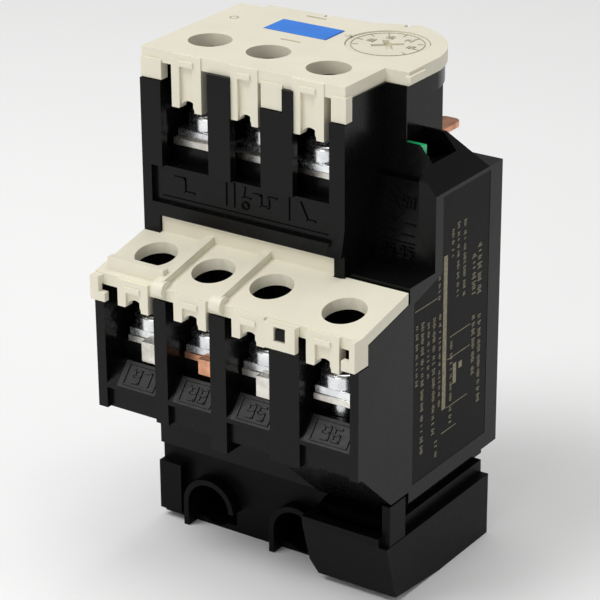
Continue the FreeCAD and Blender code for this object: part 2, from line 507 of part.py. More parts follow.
def control_terminal(index):
    """Plate with a tail to its contact tongue; tongues pair up at the two bridges."""
    x = CONTROL_X[index]
    y = CONTROL_SCREW_Y[index]
    z = (CONTROL_SEAT_Z, CONTROL_SEAT_Z + 1.0)
    half = CONTROL_PLATE_HALF
    tail_left = (x - half, x - half + 2.2)
    tail_right = (x + half - 2.2, x + half)
    tail, row_y = ((tail_left, (20.2, 21.8)), (tail_left, (18.0, 19.6)),
                   (tail_right, (18.0, 19.6)), (tail_left, (20.2, 21.8)))[index]
    tongue_left = NO_TONGUE_X if index < 2 else NC_TONGUE_X
    tongue_x = (tongue_left, tongue_left + TONGUE_T)
    reach = (min(tail[0], tongue_x[0]), max(tail[1], tongue_x[1]))
    pieces = [box(around(x, half), (y - 3.2, CONTROL_BACK_Y + 2.4), z),
              box(tail, (CONTROL_BACK_Y + 2, row_y[1]), z),
              box(reach, row_y, z),
              box(tongue_x, row_y, (z[0], CONTACT_Z + 1.2))]
    leg_low = {0: 31.3, 1: 32.1, 2: 31.3}.get(index)
    if leg_low:
        pieces.append(box((x, x + half), (y - 4.2, y - 3.1), (leg_low, z[1])))
    return fuse(pieces).cut(rod(SCREW_R + 0.03, (x, y, z[0] - 1), 4))


NO_TONGUE_X = BRIDGE_X[0] - 0.45 - 1.25 - 0.35 - TONGUE_T
NC_TONGUE_X = BRIDGE_X[1] + BRIDGE_T + 0.35 + 0.02 + 0.33


def fixed_contacts():
    studs = []
    for y in CONTACT_Y:
        studs.append(rod(0.7, (NO_TONGUE_X + TONGUE_T, y, CONTACT_Z), 0.35, "x"))
        studs.append(rod(0.7, (NC_TONGUE_X - 0.33, y, CONTACT_Z), 0.33, "x"))
    return Part.makeCompound(studs)


def line_lead(x):
    z = (LEAD_Z, LEAD_Z + PLATE_T)
    blade = box(around(x, LEAD_HALF), (LEAD_LEG_Y, LEAD_TIP_Y), z)
    tips = [e for e in blade.Edges if abs(e.BoundBox.YMin - LEAD_TIP_Y) < 0.01 and e.BoundBox.ZLength > 0.5]
    blade = blade.makeFillet(1.2, tips)
    leg = box(around(x, LEAD_HALF), (LEAD_LEG_Y, LEAD_LEG_Y + PLATE_T), (43.0, z[1]))
    return fuse([blade, leg])


def heater(x):
    """Square ribbon coil round a bimetal, fed from the lead, returning to the load terminal."""
    left, right = around(x, 3.1)
    front, back = 24.9, 32.1
    pitch = (HEATER_Z[1] - HEATER_Z[0]) / HEATER_TURNS
    pieces = []
    for turn in range(HEATER_TURNS):
        z = HEATER_Z[0] + turn * pitch
        level = (z, z + WIRE)
        half_up = z + pitch / 2
        pieces.append(box((right - WIRE, right), (front, back), level))
        pieces.append(box((left, right), (front, front + WIRE), level))
        pieces.append(box((left, left + WIRE), (front, back), level))
        pieces.append(box((left, left + WIRE), (back - WIRE, back), (z, half_up + WIRE)))
        pieces.append(box((left, right), (back - WIRE, back), (half_up, half_up + WIRE)))
        if turn < HEATER_TURNS - 1:
            pieces.append(box((right - WIRE, right), (back - WIRE, back), (half_up, z + pitch + WIRE)))
    top = HEATER_Z[1] - pitch / 2
    pieces.append(box(around(x, WIRE / 2), (back - WIRE, LEAD_LEG_Y), (top, top + WIRE)))
    pieces.append(box(around(x, WIRE / 2), (LEAD_LEG_Y - WIRE, LEAD_LEG_Y), (top, 44.5)))
    outer = x + 4.1
    feed_y = (28.0, 28.0 + WIRE)
    pieces.append(box((right - WIRE, outer), feed_y, (HEATER_Z[0], HEATER_Z[0] + WIRE)))
    pieces.append(box((outer - 0.6, outer), feed_y, (HEATER_Z[0], 47.4)))
    pieces.append(box((x + 1.4, outer), feed_y, (46.5, 47.4)))
    return fuse(pieces)


def bimetal(x):
    return box(around(x, STRIP_T / 2), STRIP_Y, STRIP_Z)


# ---- trip mechanism --------------------------------------------------------------------------
DIFF_PIVOT = (34.2, 30.2)       # x, y of the differential lever's stud on the trip slider
DIFF_PIN = (34.2, 33.6)


def trip_slider():
    bar = box((6.0, 36.0), (20.5, 24.0), SLIDER_Z)
    arm = box((32.6, 36.0), (20.5, 31.6), SLIDER_Z)
    fingers = []
    for x in POLE_X:
        left = x + STRIP_T / 2 + FINGER_GAP
        fingers.append(box((left, left + 1.0), (22.0, 30.5), SLIDER_Z))
        fingers.append(box((left, left + 1.0), (27.0, 30.5), (SLIDER_Z[0], FINGER_TOP_Z)))
    stud = rod(SMALL_PIN_R, (DIFF_PIVOT[0], DIFF_PIVOT[1], SLIDER_Z[1] - 0.2), 2.0)
    return fuse([bar, arm, stud] + fingers)


def differential_slider():
    bar = box((5.0, 35.6), (32.0, 35.4), SLIDER_Z)
    fingers = []
    for x in POLE_X:
        right = x - STRIP_T / 2 - FINGER_GAP
        fingers.append(box((right - 1.0, right), (27.0, 33.0), SLIDER_Z))
        fingers.append(box((right - 1.0, right), (27.0, 30.4), (SLIDER_Z[0], FINGER_TOP_Z)))
    stud = rod(0.7, (DIFF_PIN[0], DIFF_PIN[1], SLIDER_Z[1] - 0.2), 2.0)
    return fuse([bar, stud] + fingers)


def differential_lever():
    z = (SLIDER_Z[1] + FIT, SLIDER_Z[1] + FIT + 1.4)
    outline = [(32.7, 28.6), (36.0, 27.2), (38.05, 26.6), (38.45, 27.2), (38.45, 28.4), (36.0, 30.6),
               (35.6, 34.8), (32.8, 34.8)]
    plate = prism(outline, "z", z[0], z[1])
    slot = box(around(DIFF_PIN[0], 0.78), (DIFF_PIN[1] - 0.9, 36), (z[0] - 1, z[1] + 1))
    pivot = rod(SMALL_PIN_R + RUN, (DIFF_PIVOT[0], DIFF_PIVOT[1], z[0] - 1), 4)
    return plate.cut([slot, pivot])


def compensating_strip():
    x, z = COMP_PIVOT
    y = (26.2, 29.4)
    strip = box(around(x, STRIP_T / 2), y, (16.3, 45.5))
    hub = rod(1.7, (x, y[0], z), y[1] - y[0], "y")
    return fuse([strip, hub]).cut(rod(SMALL_PIN_R + RUN, (x, 20, z), 20, "y"))


def compensating_pin():
    return rod(SMALL_PIN_R, (COMP_PIVOT[0], 25.8, COMP_PIVOT[1]), 8.0, "y")


def adjusting_lever():
    """Lever from the dial's cam, down the neck and under the low roof to the compensating strip's pin."""
    x, z = ADJUST_PIVOT
    touch = DIAL_XY[0] + CAM_R + 0.08
    right = NECK_RIGHT - WALL - LEVER_GAP
    left = right - LEVER_ARM_T
    top = LOW_ROOF_Z - WALL - LEVER_GAP
    outline = [(touch, CAM_Z[0]), (touch, CAM_Z[1]), (right, CAM_Z[1]), (right, top), (x + 0.9, top),
               (x + 1.3, z), (x + 0.9, 50.0), (x + 0.9, COMP_PIVOT[1] + 1),
               (x + 1.3, COMP_PIVOT[1]), (x + 0.9, COMP_PIVOT[1] - 1.5),
               (x - 0.9, COMP_PIVOT[1] - 1.5), (x - 1.3, COMP_PIVOT[1]), (x - 0.9, COMP_PIVOT[1] + 1),
               (x - 0.9, 50.0), (x - 1.3, z), (x - 1.3, top - LEVER_ARM_T), (left, top - LEVER_ARM_T),
               (left, CAM_Z[0])]
    plate = prism(outline, "y", 30.6, 33.8)
    return plate.cut([rod(SMALL_PIN_R + RUN, (x, 30, z), 5, "y"),
                      rod(SMALL_PIN_R, (COMP_PIVOT[0], 30, COMP_PIVOT[1]), 5, "y")])


def adjusting_pin():
    return rod(SMALL_PIN_R, (ADJUST_PIVOT[0], 30.3, ADJUST_PIVOT[1]), BACK_Y - WALL - 30.3, "y")


def trip_lever():
    """Lever with a pad for the compensating strip, an arm in the carrier and a reset toe."""
    x, z = TRIP_PIVOT
    arm = prism([(x + 0.3, CARRIER_Z[0] + 0.4), (x + 1.5, CARRIER_Z[0] + 0.4), (x + 1.6, z), (x - 1.2, z),
                 (x + 0.3, CARRIER_Z[1] + 1)], "y", 23.1, 29.6)
    hub = rod(2.2, (x, 23.1, z), 6.5, "y")
    neck = prism([(x - 2.0, z), (x + 1.2, z), (x + 0.4, TOE_Z[1]), (x - 2.0, TOE_Z[1])], "y", 26.5, 29.6)
    toe = box((33.2, x - 1.5), (28.0, BACK_Y - WALL - TOE_GAP), TOE_Z)
    body = fuse([arm, hub, neck, toe])
    return body.cut(rod(TRIP_PIN_R + RUN, (x, 20, z), 20, "y"))


def trip_lever_pin():
    return rod(TRIP_PIN_R, (TRIP_PIVOT[0], 20.3, TRIP_PIVOT[1]), 14.0, "y")


def contact_carrier():
    bar = box((BRIDGE_X[0] - 0.25, TRIP_PIVOT[0] + 2.8), CARRIER_Y, CARRIER_Z)
    window = box((TRIP_PIVOT[0] - 0.2, TRIP_PIVOT[0] + 2.0), (CARRIER_Y[0] + 0.5, 30), grow(CARRIER_Z, 1))
    left, right = BRIDGE_X
    lugs = [box((left + BRIDGE_T, left + BRIDGE_T + 1.5), CARRIER_Y, (CARRIER_Z[0], 46.0)),
            box((right - 1.5, right), CARRIER_Y, (CARRIER_Z[0], 46.0))]
    return fuse([bar] + lugs).cut(window)


def bridge(left, side):
    """Contact bridge with two studs on the side that faces its fixed contacts."""
    plate = box((left, left + BRIDGE_T), (17.9, CARRIER_Y[1]), (CARRIER_Z[1], 46.4))
    depth = 0.45 if side < 0 else 0.35
    start = left - depth if side < 0 else left + BRIDGE_T
    return fuse([plate] + [rod(0.7, (start, y, CONTACT_Z), depth, "x") for y in CONTACT_Y])


def current_dial():
    """Dial with an arrow slot, retaining flange, shaft and a spiral cam."""
    x, y = DIAL_XY
    top = TOP_Z - 0.2
    disc = rod(DIAL_R, (x, y, CASE_TOP_Z - 0.3), top - CASE_TOP_Z + 0.3)
    flange = rod(DIAL_R + DIAL_FLANGE, (x, y, CASE_TOP_Z - 1.4), 1.2)
    shaft = rod(SHAFT_R, (x, y, CAM_Z[0] - 0.2), CASE_TOP_Z - CAM_Z[0])
    steps = 24
    sweep = math.radians(300)
    rim = []
    for i in range(steps + 1):
        angle = -sweep / 2 + sweep * i / steps
        radius = CAM_R - CAM_RISE * angle / math.radians(135)
        rim.append(V(x + radius * math.cos(angle), y + radius * math.sin(angle), CAM_Z[0]))
    spiral = Part.BSplineCurve()
    spiral.interpolate(rim)
    wire = Part.Wire([spiral.toShape(), Part.makeLine(rim[-1], rim[0])])
    cam = Part.Face(wire).extrude(V(0, 0, CAM_Z[1] - CAM_Z[0]))
    slots = [box(around(x, 2.4), around(y, 0.5), (top - 0.9, top + 1)),
             box(around(x, 0.5), around(y, 2.4), (top - 0.9, top + 1))]
    for tool in slots:
        tool.rotate(V(x, y, 0), V(0, 0, 1), 40)
    return fuse([disc, flange, shaft, cam]).cut(slots)


# ---- reset and flag --------------------------------------------------------------------------
def reset_bar():
    cap = box(RESET_X, RESET_Y, (RESET_BASE_Z, TOP_Z + 0.1))
    flange_right = DIAL_XY[0] - DIAL_R - DIAL_FLANGE - RESET_DIAL_GAP
    flange = box((RESET_X[0] - 0.6, flange_right), grow(RESET_Y, 0.6), (CASE_TOP_Z - 2.1, CASE_TOP_Z - 0.2))
    level = (RESET_BASE_Z + 0.5, RESET_BASE_Z + 2.5)
    arm_back = BACK_Y - WALL - MOVE_GAP
    arm_y = (arm_back - RESET_ARM_T, arm_back)
    link = box((18.0, RESET_X[1]), (RESET_Y[1] - 0.5, arm_y[1]), level)
    arm_right = NECK_RIGHT - WALL - SEAT_GAP
    arm = box((18.0, arm_right), arm_y, level)
    leg = box((arm_right - RESET_ARM_T, arm_right), arm_y, (TOE_Z[1] + TOE_DROP, level[1]))
    return fuse([cap, flange, link, arm, leg])


def reset_spring():
    """Compression coil between its seat on the rear housing and the reset bar."""
    x = (POLE_X[0] + POLE_X[1]) / 2
    low = 58.0 + SPRING_WIRE_R + 0.02
    height = RESET_BASE_Z - 58.0 - 2 * SPRING_WIRE_R - 0.04
    path = Part.makeHelix(height / 5, height, SPRING_R)
    section = Part.Wire(Part.makeCircle(SPRING_WIRE_R, V(SPRING_R, 0, 0), V(0, 1, 0)))
    coil = Part.Wire(path.Edges).makePipeShell([section], True, True)
    coil.translate(V(x, SPRING_Y, low))
    return coil


def trip_flag():
    blade = box(FLAG_X, FLAG_Y, (62.0, SHOULDER_Z - FLAG_SINK))
    foot = box(grow(FLAG_X, 0.0), (FLAG_Y[0], FLAG_Y[1] + 0.6), (62.0, 62.9))
    return fuse([blade, foot])


def case_screws():
    screws = []
    for x, z in CASE_SCREWS:
        shank = rod(CASE_SCREW_R - 0.1, (x, 18.5, z), BACK_Y - 1.2 - 18.5, "y")
        head = rod(2.1, (x, BACK_Y - 1.3, z), 1.1, "y")
        slot = box(around(x, 3), (BACK_Y - 0.7, BACK_Y + 1), around(z, 0.3))
        screws.append(fuse([shank, head]).cut(slot))
    return Part.makeCompound(screws)


# ---- export ----------------------------------------------------------------------------------
def export(name, shape):
    shape = shape.copy()
    shape.translate(V(-WIDTH / 2, -FRAME_Y, 0))
    shape.exportStep(os.path.join("parts", name + ".step"))
    box_ = shape.BoundBox
    print(f"{name:22s} solids {len(shape.Solids)} valid {shape.isValid()} vol {shape.Volume:9.1f}"
          f"  x {box_.XMin:.1f}..{box_.XMax:.1f} y {box_.YMin:.1f}..{box_.YMax:.1f}"
          f" z {box_.ZMin:.1f}..{box_.ZMax:.1f}")


def main():
    os.makedirs("parts", exist_ok=True)
    nodes = {
        "main_case": main_case().cut([top_cover(), terminal_cover()]), "rear_case": rear_case(),
        "mounting_foot": mounting_foot(), "top_cover": top_cover(),
        "terminal_cover": terminal_cover(), "rating_label": rating_label(),
        "load_screws": Part.makeCompound([screw(x, y, LOAD_SEAT_Z + PLATE_T)
                                          for x, y in zip(POLE_X, POLE_SCREW_Y)]),
        "load_washers": Part.makeCompound([square_washer(x, y, LOAD_SEAT_Z + PLATE_T, 3.6)
                                           for x, y in zip(POLE_X, POLE_SCREW_Y)]),
        "control_screws": Part.makeCompound([screw(x, y, CONTROL_SEAT_Z + 1.0)
                                             for x, y in zip(CONTROL_X, CONTROL_SCREW_Y)]),
        "control_washers": Part.makeCompound([square_washer(x, y, CONTROL_SEAT_Z + 1.0, 3.0)
                                              for x, y in zip(CONTROL_X, CONTROL_SCREW_Y)]),
        "fixed_contacts": fixed_contacts(), "trip_slider": trip_slider(),
        "differential_slider": differential_slider(), "differential_lever": differential_lever(),
        "compensating_strip": compensating_strip(), "compensating_pin": compensating_pin(),
        "adjusting_lever": adjusting_lever(), "adjusting_pin": adjusting_pin(),
        "trip_lever": trip_lever(), "trip_lever_pin": trip_lever_pin(),
        "contact_carrier": contact_carrier(), "no_bridge": bridge(BRIDGE_X[0], -1),
        "nc_bridge": bridge(BRIDGE_X[1], 1), "current_dial": current_dial(),
        "reset_bar": reset_bar(), "reset_spring": reset_spring(), "trip_flag": trip_flag(),
        "case_screws": case_screws(),
    }
    for number, (x, y) in enumerate(zip(POLE_X, POLE_SCREW_Y), 1):
        nodes[f"load_terminal_{number}"] = load_terminal(x, y)
        nodes[f"line_lead_{number}"] = line_lead(x)
        nodes[f"heater_{number}"] = heater(x)
        nodes[f"bimetal_{number}"] = bimetal(x)
    for index in range(len(CONTROL_X)):
        nodes[f"control_terminal_{index + 1}"] = control_terminal(index)
    for name, shape in nodes.items():
        export(name, shape)


main()
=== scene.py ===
"""Look, light and camera of a three-pole thermal overload relay, laid over its CAD frame.

Every piece is in metres in the part's own frame: origin at the centre of the foot's underside,
+X to the right seen from the terminals, +Y towards the contactor, +Z up to the dial. Places in the
code are written in millimetres from the left flank, the front face and the underside, and mm()
turns them into metres in the frame.
"""

import math

import bmesh
import bpy
from mathutils import Matrix, Vector


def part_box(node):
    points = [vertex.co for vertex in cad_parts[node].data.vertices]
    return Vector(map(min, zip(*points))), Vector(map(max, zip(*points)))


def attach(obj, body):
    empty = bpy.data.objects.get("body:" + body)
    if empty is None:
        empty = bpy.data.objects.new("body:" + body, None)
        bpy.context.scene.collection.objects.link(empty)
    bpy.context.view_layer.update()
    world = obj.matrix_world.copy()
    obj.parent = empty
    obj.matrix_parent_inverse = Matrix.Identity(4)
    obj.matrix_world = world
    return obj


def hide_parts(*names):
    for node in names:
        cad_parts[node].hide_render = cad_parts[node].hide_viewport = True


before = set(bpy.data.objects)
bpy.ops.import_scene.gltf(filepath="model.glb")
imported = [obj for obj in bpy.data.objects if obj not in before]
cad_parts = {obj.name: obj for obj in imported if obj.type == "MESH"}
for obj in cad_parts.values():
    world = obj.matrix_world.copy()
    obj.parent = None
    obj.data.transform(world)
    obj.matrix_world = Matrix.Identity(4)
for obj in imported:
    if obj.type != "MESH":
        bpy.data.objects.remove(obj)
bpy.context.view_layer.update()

bl_info = {
    "name": "Overload Relay Visual",
    "version": (1, 0, 0),
    "blender": (4, 5, 0),
    "location": "View3D > Sidebar > Relay",
    "description": "Builds the detailed look of a three-pole overload relay over its CAD frame",
    "category": "Add Mesh",
}

LEFT, FRONT = 22.5, 22.0            # the frame's origin from the left flank and the front face, mm
FLANK = 45.0                        # the right flank, mm
SHELVES = ((3.4, 10.2), (13.4, 20.2), (23.5, 30.2), (35.9, 43.3))   # left and right ends, mm
SHELF_FOOT_Z = 28.0
SHELF_SLOPE = (2.7, 3.1)            # how far a shelf runs back and up, mm
SHELF_FACE = 0.00008                # thickness of a shelf's face, metres
PANEL_Y = 12.92                     # the panel below the load terminals, mm
SIDE_PANEL = ((34.95, 18.9, 48.9), (34.95, 21.6, 60.3))     # its lower and upper left corners, mm
TOP_Z = 75.5
DIAL = (28.9, 32.4)
DIAL_TOP_Z = 75.3
DIAL_RING = 5.3                     # radii on the dial, mm
TICK = (4.3, 5.0)
FIGURE_RING = 3.3
FIGURE_PITCH = 1.75                 # from one figure to the next, in figure widths

MERGE = 0.000002                    # vertices nearer than this are one, metres
FLAT_ANGLE = 0.5                    # faces nearer to parallel than this are one, degrees
CORNER_ANGLE = 32.0                 # an edge that turns more than this is a corner, degrees
SCREW_CORNER = 40.0
DIAL_CORNER = 38.0

FILM_EDGE = 0.00004                 # the rating plate and its print, metres
FILM_SINK = 0.00004
INK = 0.00004
WORD_PITCH = 0.34                   # from one upright stroke to the next, mm
WORD_GAP = 0.3

VIEW_ANGLES = (34.19, 23.40, -0.389)            # azimuth, elevation and roll, degrees
VIEW_POINT = (0.19064, -0.28340, 0.18586)       # the camera's place, metres
SENSOR = 36.0
LIGHTS = (                          # name, place in metres, side in metres, power in watts
    ("key", (-0.25, -0.30, 0.62), 0.34, 2.5),
    ("top", (0.05, 0.12, 0.70), 0.40, 1.6),
    ("side", (0.62, -0.10, 0.34), 0.26, 0.35),
    ("front", (0.02, -0.66, 0.16), 0.22, 0.7),
)


def mm(x, y, z):
    """A point in the part's frame, from millimetres off the flank, the front and the underside."""
    return Vector(((x - LEFT) / 1000.0, (y - FRONT) / 1000.0, z / 1000.0))


# ---- what a user may change ------------------------------------------------------------------
class RelaySizes(bpy.types.PropertyGroup):
    edge: bpy.props.FloatProperty(
        name="Moulded edge", description="Radius of the rounded edges of the black mouldings",
        default=0.00018, min=0.00002, max=0.0005, unit="LENGTH")
    cover_edge: bpy.props.FloatProperty(
        name="Cover edge", description="Radius of the rounded edges of the ivory covers",
        default=0.00013, min=0.00002, max=0.0006, unit="LENGTH")
    metal_edge: bpy.props.FloatProperty(
        name="Metal edge", description="Radius of the rounded edges of sheet metal and screws",
        default=0.00012, min=0.00001, max=0.0004, unit="LENGTH")
    emboss: bpy.props.FloatProperty(
        name="Emboss height", description="Height of the raised figures and symbols",
        default=0.00024, min=0.00005, max=0.0005, unit="LENGTH")
    lens: bpy.props.FloatProperty(
        name="Lens", description="Focal length of the camera in millimetres", default=153.06)


class RelayColours(bpy.types.PropertyGroup):
    black: bpy.props.FloatVectorProperty(
        name="Housing", description="Colour of the black mouldings", subtype="COLOR",
        default=(0.0030, 0.0030, 0.0029), min=0.0, max=1.0)
    ivory: bpy.props.FloatVectorProperty(
        name="Covers", description="Colour of the ivory covers and the dial", subtype="COLOR",
        default=(0.76, 0.72, 0.585), min=0.0, max=1.0)
    blue: bpy.props.FloatVectorProperty(
        name="Reset bar", description="Colour of the reset bar", subtype="COLOR",
        default=(0.028, 0.20, 0.72), min=0.0, max=1.0)
    green: bpy.props.FloatVectorProperty(
        name="Trip flag", description="Colour of the trip flag", subtype="COLOR",
        default=(0.02, 0.55, 0.20), min=0.0, max=1.0)
    copper: bpy.props.FloatVectorProperty(
        name="Copper", description="Colour of the bare copper", subtype="COLOR",
        default=(0.80, 0.40, 0.24), min=0.0, max=1.0)
    print_gold: bpy.props.FloatVectorProperty(
        name="Print", description="Colour of the pale gold print", subtype="COLOR",
        default=(0.30, 0.265, 0.16), min=0.0, max=1.0)


def sizes():
    return bpy.context.scene.relay_sizes


def colours():
    return bpy.context.scene.relay_colours


# ---- materials -------------------------------------------------------------------------------
class Graph:
    """A material's node tree with short calls for the few nodes used here."""

    def __init__(self, name):
        self.material = bpy.data.materials.new(name)
        self.material.use_nodes = True
        self.tree = self.material.node_tree
        self.tree.nodes.clear()
        output = self.add("ShaderNodeOutputMaterial")
        self.shader = self.add("ShaderNodeBsdfPrincipled")
        self.link(self.shader.outputs["BSDF"], output.inputs["Surface"])
        self.place = self.add("ShaderNodeTexCoord").outputs["Object"]

    def add(self, kind, **settings):
        node = self.tree.nodes.new(kind)
        for key, value in settings.items():
            setattr(node, key, value)
        return node

    def link(self, source, target):
        self.tree.links.new(source, target)

    def mapping(self, scale):
        node = self.add("ShaderNodeMapping")
        node.inputs["Scale"].default_value = scale
        self.link(self.place, node.inputs["Vector"])
        return node.outputs["Vector"]

    def noise(self, scale, detail, stretch=None):
        node = self.add("ShaderNodeTexNoise")
        node.inputs["Scale"].default_value = scale
        node.inputs["Detail"].default_value = detail
        node.inputs["Roughness"].default_value = 0.55
        self.link(self.mapping(stretch) if stretch else self.place, node.inputs["Vector"])
        return node.outputs["Fac"]

    def remap(self, value, low, high, to_low, to_high):
        node = self.add("ShaderNodeMapRange")
        for key, number in (("From Min", low), ("From Max", high),
                            ("To Min", to_low), ("To Max", to_high)):
            node.inputs[key].default_value = number
        self.link(value, node.inputs["Value"])
        return node.outputs["Result"]

    def mix(self, factor, first, second):
        node = self.add("ShaderNodeMix", data_type="RGBA")
        self.link(factor, node.inputs["Factor"])
        for socket, colour in ((node.inputs["A"], first), (node.inputs["B"], second)):
            if hasattr(colour, "is_output"):
                self.link(colour, socket)
            else:
                socket.default_value = (*colour, 1.0)
        return node.outputs["Result"]

    def bump(self, heights):
        """Chains (height, distance) pairs into the shader's normal."""
        previous = None
        for height, distance in heights:
            node = self.add("ShaderNodeBump")
            node.inputs["Strength"].default_value = 1.0
            node.inputs["Distance"].default_value = distance
            self.link(height, node.inputs["Height"])
            if previous:
                self.link(previous, node.inputs["Normal"])
            previous = node.outputs["Normal"]
        self.link(previous, self.shader.inputs["Normal"])

    def set(self, **values):
        for key, value in values.items():
            socket = self.shader.inputs[key.replace("_", " ")]
            if hasattr(value, "is_output"):
                self.link(value, socket)
            else:
                socket.default_value = value


def scaled(colour, factor):
    return tuple(min(1.0, channel * factor) for channel in colour)


def moulding(name, colour, rough, grain, darkest=0.85, lightest=1.25, specular=0.5):
    """Moulded plastic: cloudy colour, spark-eroded grain and fine scuffs in the gloss."""
    g = Graph(name)
    cloud = g.noise(160.0, 4.0)
    fine = g.noise(5200.0, 2.0)
    scuff = g.noise(900.0, 6.0, stretch=(1.0, 5.0, 0.7))
    shade = g.mix(g.remap(cloud, 0.3, 0.7, 0.0, 1.0),
                  scaled(colour, darkest), scaled(colour, lightest))
    g.set(Base_Color=shade, Specular_IOR_Level=specular)
    g.set(Roughness=g.remap(scuff, 0.35, 0.75, rough, rough + 0.13))
    g.bump([(cloud, 0.00002), (fine, grain)])
    return g.material


def metal(name, colour, dull, rough, brushed=(1.0, 1.0, 1.0)):
    """Plated or bare metal: drawn grain, stains and small dents."""
    g = Graph(name)
    grain = g.noise(2600.0, 4.0, stretch=brushed)
    stain = g.noise(380.0, 5.0)
    tone = g.mix(g.remap(stain, 0.42, 0.68, 0.0, 1.0), colour, dull)
    g.set(Base_Color=tone, Metallic=1.0)
    g.set(Roughness=g.remap(grain, 0.3, 0.7, rough, rough + 0.16))
    g.bump([(stain, 0.000004), (grain, 0.0000015)])
    return g.material


def printed(name, colour, backing):
    """Ink on a dark plate: uneven, slightly worn."""
    g = Graph(name)
    wear = g.noise(4200.0, 5.0)
    g.set(Base_Color=g.mix(g.remap(wear, 0.35, 0.62, 0.25, 1.0), backing, colour), Roughness=0.5)
    g.bump([(wear, 0.000006)])
    return g.material


LOOKS = {}


def look(key):
    """The shared material of that name, made once."""
    if key not in LOOKS:
        c = colours()
        recipes = {
            "black": lambda: moulding("black_moulding", c.black, 0.20, 0.000003, specular=0.16),
            "foot": lambda: moulding("foot_moulding", scaled(c.black, 0.9), 0.34, 0.000006,
                                     specular=0.09),
            # shelves: the housing black made five times lighter, a painted sheen on the sloping
            # faces
            "shelf": lambda: moulding("shelf_painted_sheen", scaled(c.black, 5.0), 0.40, 0.000008,
                                      specular=0.3),
            "ivory": lambda: moulding("ivory_moulding", c.ivory, 0.42, 0.000010, 0.965, 1.02),
            "dial": lambda: moulding("dial_moulding", scaled(c.ivory, 0.97), 0.36, 0.000008,
                                     0.96, 1.02),
            "mark": lambda: printed("grey_mark", (0.33, 0.29, 0.22), scaled(c.ivory, 0.8)),
            "blue": lambda: moulding("blue_moulding", c.blue, 0.36, 0.000008, 0.92, 1.08),
            "green": lambda: moulding("green_moulding", c.green, 0.22, 0.000005, 0.9, 1.2, 0.7),
            "label": lambda: moulding("label_film", scaled(c.black, 0.9), 0.34, 0.000003,
                                      specular=0.07),
            "gold": lambda: printed("gold_print", c.print_gold, (0.05, 0.045, 0.03)),
            "zinc": lambda: metal("zinc_plate", (0.86, 0.87, 0.88), (0.62, 0.64, 0.66), 0.16),
            "tinned": lambda: metal("tinned_sheet", (0.80, 0.78, 0.72), (0.56, 0.53, 0.48), 0.24,
                                    (1, 1, 6)),
            "copper": lambda: metal("bare_copper", c.copper, scaled(c.copper, 0.55), 0.26,
                                    (1, 6, 1)),
            "alloy": lambda: metal("resistance_alloy", (0.34, 0.31, 0.28), (0.16, 0.13, 0.11), 0.4),
            "steel": lambda: metal("drawn_steel", (0.60, 0.60, 0.61), (0.34, 0.33, 0.32), 0.3),
            "silver": lambda: metal("contact_silver", (0.90, 0.89, 0.85), (0.55, 0.52, 0.48), 0.2),
            "natural": lambda: moulding("natural_moulding", (0.62, 0.55, 0.40), 0.5, 0.00001,
                                        0.95, 1.03),
        }
        LOOKS[key] = recipes[key]()
    return LOOKS[key]


# ---- mesh helpers ----------------------------------------------------------------------------
def piece(name, bm, material, body="base"):
    """A new piece from a bmesh already in place, riding on a body."""
    mesh = bpy.data.meshes.new(name)
    bm.to_mesh(mesh)
    bm.free()
    mesh.materials.append(look(material))
    made = bpy.data.objects.new(name, mesh)
    bpy.context.scene.collection.objects.link(made)
    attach(made, body)
    return made


def smooth(mesh, degrees):
    mesh.shade_smooth()
    mesh.set_sharp_from_angle(angle=math.radians(degrees))


def rounded(node, material, width, body, segments=2, angle=CORNER_ANGLE):
    """A CAD node's shape with rounded edges, standing for that node and kept inside its box."""
    low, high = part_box(node)
    bm = bmesh.new()
    bm.from_mesh(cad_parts[node].data)
    bmesh.ops.remove_doubles(bm, verts=bm.verts, dist=MERGE)
    bmesh.ops.dissolve_degenerate(bm, edges=bm.edges, dist=MERGE)
    bmesh.ops.dissolve_limit(bm, angle_limit=math.radians(FLAT_ANGLE), verts=bm.verts,
                             edges=bm.edges, use_dissolve_boundaries=False)
    bm.normal_update()
    corners = [edge for edge in bm.edges
               if edge.is_manifold and edge.calc_face_angle() > math.radians(angle)]
    bmesh.ops.bevel(bm, geom=corners, offset=width, offset_type="OFFSET", affect="EDGES",
                    segments=segments, profile=0.5, material=-1, clamp_overlap=True,
                    loop_slide=False)
    for vert in bm.verts:
        for axis in range(3):
            vert.co[axis] = min(max(vert.co[axis], low[axis]), high[axis])
    bmesh.ops.remove_doubles(bm, verts=bm.verts, dist=MERGE)
    made = piece(node + "_finish", bm, material, body)
    smooth(made.data, angle)
    shading = made.modifiers.new("flat faces stay flat", "WEIGHTED_NORMAL")
    shading.keep_sharp = True
    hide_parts(node)
    return made


def plate(bm, centre, size, turn=None):
    """A box of a size in metres about a centre, turned about it if a matrix is given."""
    made = bmesh.ops.create_cube(bm, size=1.0)["verts"]
    bmesh.ops.scale(bm, vec=Vector(size), verts=made)
    if turn:
        bmesh.ops.rotate(bm, cent=Vector((0, 0, 0)), matrix=turn, verts=made)
    bmesh.ops.translate(bm, vec=centre, verts=made)
    return made


